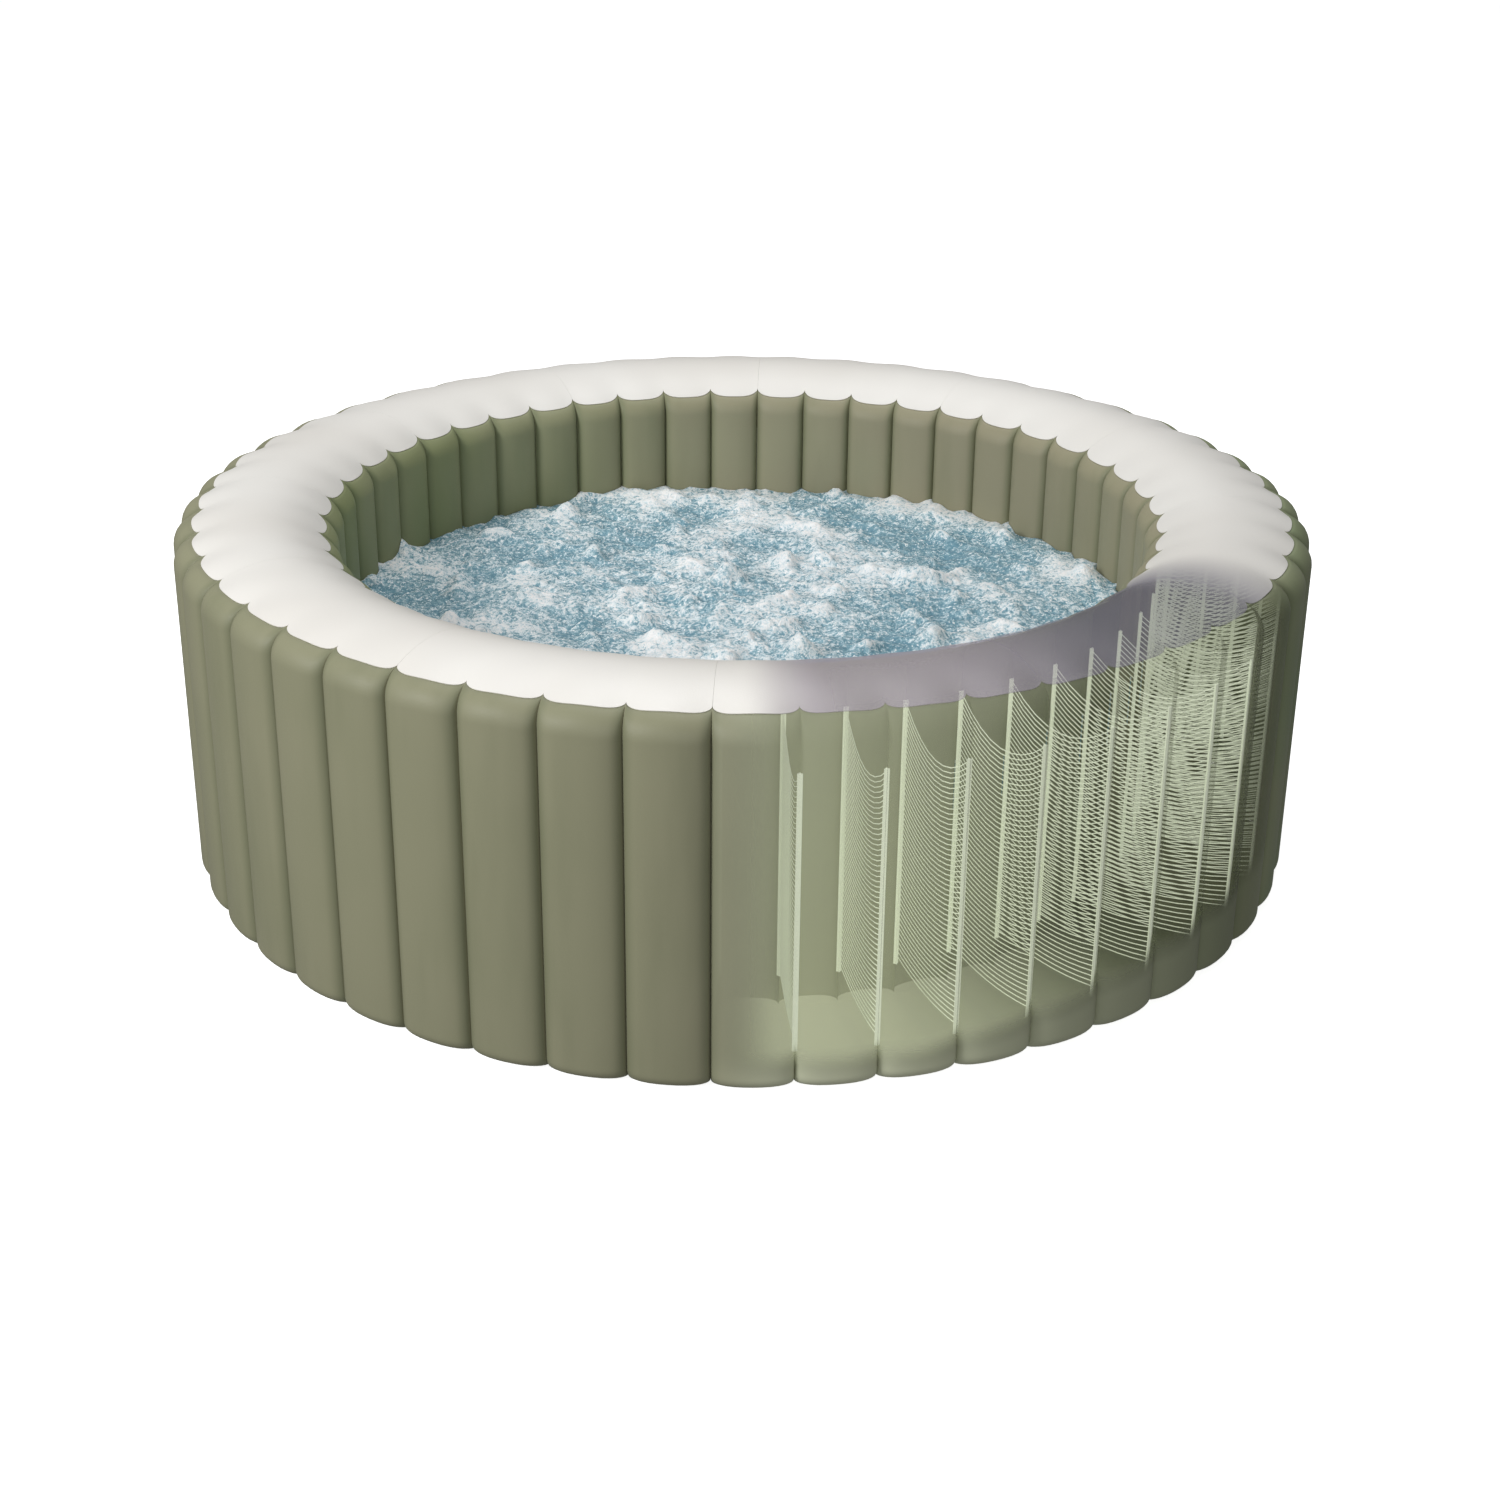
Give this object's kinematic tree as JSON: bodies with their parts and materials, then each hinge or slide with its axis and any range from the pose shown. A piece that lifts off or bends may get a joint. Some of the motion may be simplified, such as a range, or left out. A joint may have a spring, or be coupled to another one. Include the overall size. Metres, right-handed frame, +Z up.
{
  "type": "inflatable hot tub",
  "caption": "Round inflatable hot tub with a fluted wall, a padded white rim, inner tension webs and capped wall ports.",
  "frame": {"origin": "centre of the pool floor's underside, on the tub's vertical axis", "axes": "+Z up, -Y towards the picture's viewer, ports at +Y"},
  "size_m": [2.1578, 2.2059, 0.685],
  "materials": {
    "green_sheet": "satin laminated vinyl",
    "white_sheet": "satin laminated vinyl",
    "pale_fabric": "matt woven",
    "grey_plastic": "moulded",
    "seal_rubber": "matt"
  },
  "bodies": {
    "tub": {"outer_wall_panel_01": "green_sheet", "outer_wall_panel_02": "green_sheet", "outer_wall_panel_03": "green_sheet", "outer_wall_panel_04": "green_sheet", "inner_wall_panel_01": "green_sheet", "inner_wall_panel_02": "green_sheet", "inner_wall_panel_03": "green_sheet", "inner_wall_panel_04": "green_sheet", "inner_wall_panel_05": "green_sheet", "inner_wall_panel_06": "green_sheet", "inner_wall_panel_07": "green_sheet", "inner_wall_panel_08": "green_sheet", "inner_wall_panel_09": "green_sheet", "inner_wall_panel_10": "green_sheet", "inner_wall_panel_11": "green_sheet", "inner_wall_panel_12": "green_sheet", "rim_panel_01": "white_sheet", "rim_panel_02": "white_sheet", "rim_panel_03": "white_sheet", "rim_panel_04": "white_sheet", "rim_panel_05": "white_sheet", "rim_panel_06": "white_sheet", "rim_panel_07": "white_sheet", "rim_panel_08": "white_sheet", "rim_panel_09": "white_sheet", "rim_panel_10": "white_sheet", "rim_panel_11": "white_sheet", "rim_panel_12": "white_sheet", "base_ring": "green_sheet", "pool_floor": "green_sheet", "bubble_channel": "pale_fabric", "air_riser": "pale_fabric", "tension_web_set_01": "pale_fabric", "tension_web_set_02": "pale_fabric", "tension_web_set_03": "pale_fabric", "tension_web_set_04": "pale_fabric", "tension_web_set_05": "pale_fabric", "tension_web_set_06": "pale_fabric", "tension_web_set_07": "pale_fabric", "tension_web_set_08": "pale_fabric", "tension_web_set_09": "pale_fabric", "tension_web_set_10": "pale_fabric", "tension_web_set_11": "pale_fabric", "tension_web_set_12": "pale_fabric", "water_outlet_tube": "grey_plastic", "water_inlet_tube": "grey_plastic", "air_tube": "grey_plastic", "water_outlet_nut": "grey_plastic", "water_inlet_nut": "grey_plastic", "inflation_valve": "grey_plastic"},
    "water_outlet_cap_seal": {"water_outlet_cap_seal": "seal_rubber"},
    "water_outlet_cap": {"water_outlet_cap": "grey_plastic"},
    "water_inlet_cap_seal": {"water_inlet_cap_seal": "seal_rubber"},
    "water_inlet_cap": {"water_inlet_cap": "grey_plastic"},
    "air_cap_seal": {"air_cap_seal": "seal_rubber"},
    "air_cap": {"air_cap": "grey_plastic"},
    "inflation_cap_seal": {"inflation_cap_seal": "seal_rubber"},
    "inflation_cap": {"inflation_cap": "grey_plastic"},
    "water_outlet_strainer": {"water_outlet_strainer": "grey_plastic"},
    "water_inlet_strainer": {"water_inlet_strainer": "grey_plastic"}
  },
  "joints": [
    {"name": "water_outlet_cap_lift", "type": "slide", "parent": "tub", "child": "water_outlet_cap_seal", "axis": [0, 1, 0], "range_m": [0, 0.04]},
    {"name": "water_outlet_cap_turn", "type": "hinge", "parent": "water_outlet_cap_seal", "child": "water_outlet_cap", "pos_m": [0, 1.09887, 0.22], "axis": [0, 1, 0], "range_deg": [0, 1800]},
    {"name": "water_inlet_cap_lift", "type": "slide", "parent": "tub", "child": "water_inlet_cap_seal", "axis": [0, 1, 0], "range_m": [0, 0.04]},
    {"name": "water_inlet_cap_turn", "type": "hinge", "parent": "water_inlet_cap_seal", "child": "water_inlet_cap", "pos_m": [0, 1.09887, 0.32], "axis": [0, 1, 0], "range_deg": [0, 1800]},
    {"name": "air_cap_lift", "type": "slide", "parent": "tub", "child": "air_cap_seal", "axis": [0, 1, 0], "range_m": [0, 0.04]},
    {"name": "air_cap_turn", "type": "hinge", "parent": "air_cap_seal", "child": "air_cap", "pos_m": [0, 1.09887, 0.12], "axis": [0, 1, 0], "range_deg": [0, 1800]},
    {"name": "inflation_cap_lift", "type": "slide", "parent": "tub", "child": "inflation_cap_seal", "axis": [0.1305, 0.9914, 0], "range_m": [0, 0.02]},
    {"name": "inflation_cap_turn", "type": "hinge", "parent": "inflation_cap_seal", "child": "inflation_cap", "pos_m": [0.14343, 1.08947, 0.415], "axis": [0.1305, 0.9914, 0], "range_deg": [0, 900]},
    {"name": "water_outlet_strainer_pull", "type": "slide", "parent": "tub", "child": "water_outlet_strainer", "axis": [0, -1, 0], "range_m": [0, 0.05]},
    {"name": "water_inlet_strainer_pull", "type": "slide", "parent": "tub", "child": "water_inlet_strainer", "axis": [0, -1, 0], "range_m": [0, 0.05]}
  ],
  "couplings": [
    {"joint": "water_outlet_cap_lift", "follows": "water_outlet_cap_turn", "m_per_rad": 0.0012732},
    {"joint": "water_inlet_cap_lift", "follows": "water_inlet_cap_turn", "m_per_rad": 0.0012732},
    {"joint": "air_cap_lift", "follows": "air_cap_turn", "m_per_rad": 0.0012732},
    {"joint": "inflation_cap_lift", "follows": "inflation_cap_turn", "m_per_rad": 0.0012732}
  ]
}
